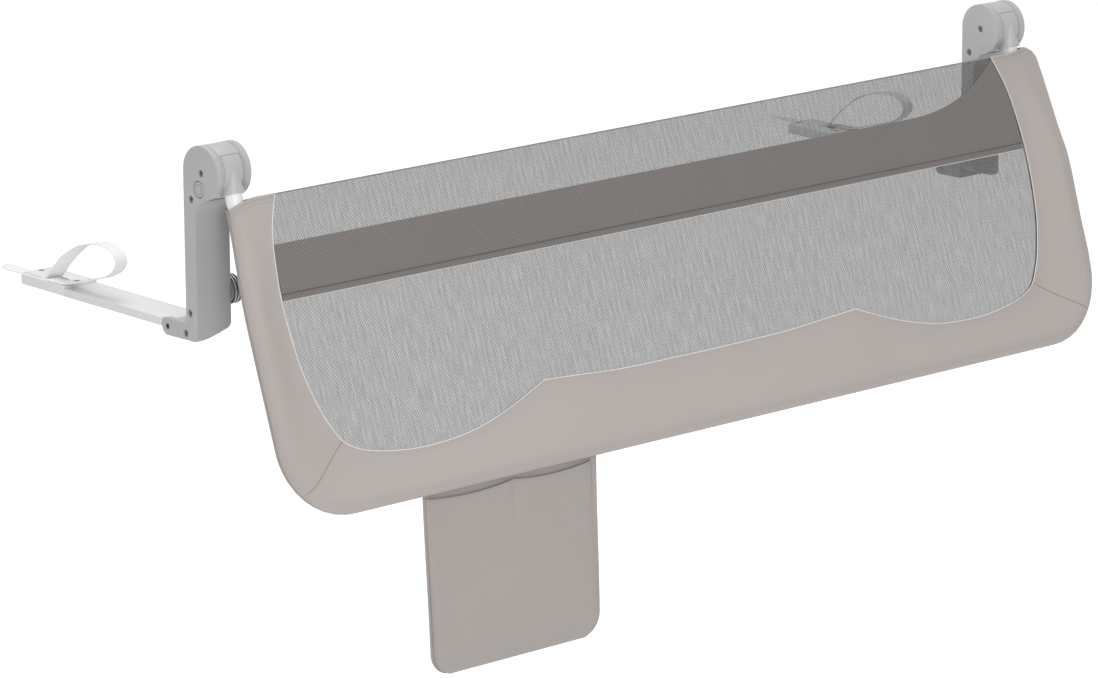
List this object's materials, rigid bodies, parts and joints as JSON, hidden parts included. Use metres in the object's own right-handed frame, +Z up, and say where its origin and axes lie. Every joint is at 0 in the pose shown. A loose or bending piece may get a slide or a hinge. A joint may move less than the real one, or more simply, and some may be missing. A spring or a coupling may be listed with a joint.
{
  "type": "folding bed guard rail",
  "caption": "Bed guard rail: a mesh-windowed fabric panel on a tube frame that folds down at push-button hinges, on posts with arms that lie under the mattress, with a hanging pocket.",
  "frame": {"origin": "midway between the two posts, in the plane of the posts' back faces and in the plane of the arms' undersides, where the rail stands against a bed's base and mattress support", "axes": "+X runs along the bed from the left post to the right one seen from outside the bed, +Y points into the bed along the arms, +Z is up"},
  "size_m": [1.5162, 0.6907, 0.7229],
  "materials": {
    "post_plastic": "fine satin moulded grey",
    "rotor_plastic": "satin moulded light grey",
    "button_plastic": "smooth grey",
    "steel": "zinc-plated",
    "bright_wire": "bright drawn wire",
    "arm_paint": "light grey powder coat",
    "end_plastic": "light grey moulded",
    "webbing": "woven webbing, nearly white",
    "tube_paint": "white powder coat",
    "cover_fabric": "plain woven warm grey",
    "back_fabric": "plain woven dark grey",
    "mesh_fabric": "fine knitted mesh, light grey",
    "band_fabric": "plain woven dark grey, bare"
  },
  "bodies": {
    "posts": {"left_post_outer_shell": "post_plastic", "right_post_outer_shell": "post_plastic", "left_post_inner_shell": "post_plastic", "right_post_inner_shell": "post_plastic", "left_post_spine": "steel", "right_post_spine": "steel", "left_hinge_axle": "steel", "right_hinge_axle": "steel", "left_shell_standoff": "steel", "right_shell_standoff": "steel", "left_axle_screw_outer": "steel", "right_axle_screw_outer": "steel", "left_axle_screw_inner": "steel", "right_axle_screw_inner": "steel", "left_head_screw_outer": "steel", "right_head_screw_outer": "steel", "left_head_screw_inner": "steel", "right_head_screw_inner": "steel", "left_post_screw": "steel", "right_post_screw": "steel", "left_foot_screw": "steel", "right_foot_screw": "steel", "left_button_spring": "steel", "right_button_spring": "steel", "left_wire_coil": "bright_wire", "right_wire_coil": "bright_wire", "left_arm_pivot_pin": "steel", "right_arm_pivot_pin": "steel"},
    "left_arm": {"left_mattress_arm": "arm_paint", "left_arm_end_piece": "end_plastic", "left_end_screw_near": "steel", "left_end_screw_far": "steel", "left_anchor_strap": "webbing"},
    "right_arm": {"right_mattress_arm": "arm_paint", "right_arm_end_piece": "end_plastic", "right_end_screw_near": "steel", "right_end_screw_far": "steel", "right_anchor_strap": "webbing"},
    "left_button": {"left_release_button": "button_plastic", "left_lock_pin": "steel"},
    "right_button": {"right_release_button": "button_plastic", "right_lock_pin": "steel"},
    "rail": {"left_hinge_rotor": "rotor_plastic", "right_hinge_rotor": "rotor_plastic", "left_side_tube": "tube_paint", "right_side_tube": "tube_paint", "left_tube_joiner": "steel", "right_tube_joiner": "steel", "lower_tube": "tube_paint", "cover_front": "cover_fabric", "cover_back": "back_fabric", "mesh_panel": "mesh_fabric", "dark_band": "band_fabric"},
    "pocket": {"pocket": "cover_fabric"}
  },
  "joints": [
    {"name": "rail_fold", "type": "hinge", "parent": "posts", "child": "rail", "pos_m": [0, -0.0365, 0.2205], "axis": [-1, 0, 0], "range_deg": [0, 160.7]},
    {"name": "left_arm_fold", "type": "hinge", "parent": "posts", "child": "left_arm", "pos_m": [-0.722, 0.041, 0.0018], "axis": [1, 0, 0], "range_deg": [0, 90], "deforming": ["left_anchor_strap"]},
    {"name": "right_arm_fold", "type": "hinge", "parent": "posts", "child": "right_arm", "pos_m": [0.722, 0.041, 0.0018], "axis": [1, 0, 0], "range_deg": [0, 90], "deforming": ["right_anchor_strap"]},
    {"name": "left_button_press", "type": "slide", "parent": "posts", "child": "left_button", "axis": [1, 0, 0], "range_m": [0, 0.003], "stiffness_N_per_m": 400, "springref_m": -0.002, "deforming": ["left_button_spring"]},
    {"name": "right_button_press", "type": "slide", "parent": "posts", "child": "right_button", "axis": [-1, 0, 0], "range_m": [0, 0.003], "stiffness_N_per_m": 400, "springref_m": -0.002, "deforming": ["right_button_spring"]},
    {"name": "pocket_swing", "type": "hinge", "parent": "rail", "child": "pocket", "pos_m": [0, -0.21149, -0.20604], "axis": [1, 0, 0], "range_deg": [0, 160]}
  ]
}
